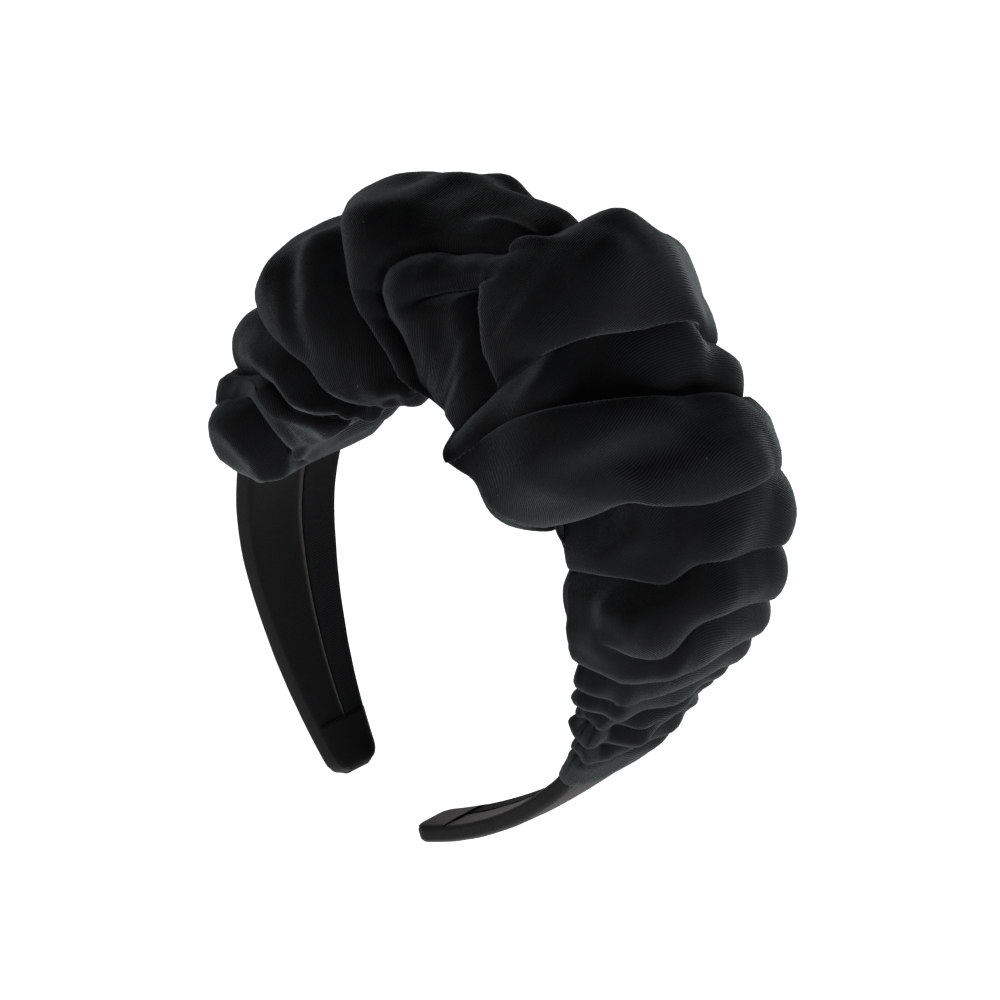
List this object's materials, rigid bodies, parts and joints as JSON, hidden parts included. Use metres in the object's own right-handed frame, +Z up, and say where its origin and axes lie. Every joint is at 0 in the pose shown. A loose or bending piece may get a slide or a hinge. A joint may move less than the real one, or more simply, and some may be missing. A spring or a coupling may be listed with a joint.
{
  "type": "headband",
  "caption": "Sprung alice band covered in velvet, with a full ruched velvet sleeve gathered over the crown, resting on the head.",
  "frame": {"origin": "middle of the sleeve's underside at the crown, where the top of the head touches it", "axes": "+Z up, +X towards the right leg of the arch, -Y towards the front of the head"},
  "size_m": [0.1632, 0.0772, 0.1923],
  "materials": {
    "hoop_plastic": "moulded, satin",
    "foam": "open-cell foam",
    "band_velvet": "short-pile stretch velvet, near black",
    "lining_ribbon": "ribbed ribbon, charcoal",
    "wadding": "polyester wadding",
    "sleeve_velvet": "finely ribbed stretch velvet, near black",
    "elastic": "braided elastic",
    "thread": "sewing thread"
  },
  "bodies": {
    "left_half": {"core_left": "hoop_plastic", "foam_left": "foam", "cover_left": "band_velvet", "lining_left": "lining_ribbon", "tip_tab_left": "band_velvet", "wadding_left": "wadding", "sleeve_left": "sleeve_velvet", "gather_cord_left": "elastic", "tack_stitches_left": "thread"},
    "right_half": {"core_right": "hoop_plastic", "foam_right": "foam", "cover_right": "band_velvet", "lining_right": "lining_ribbon", "tip_tab_right": "band_velvet", "wadding_right": "wadding", "sleeve_right": "sleeve_velvet", "gather_cord_right": "elastic", "tack_stitches_right": "thread"}
  },
  "joints": [
    {"name": "crown_flex", "type": "hinge", "parent": "left_half", "child": "right_half", "pos_m": [0, 0, 0.0041], "axis": [0, -1, 0], "range_deg": [0, 30], "stiffness_Nm_per_rad": 1}
  ]
}
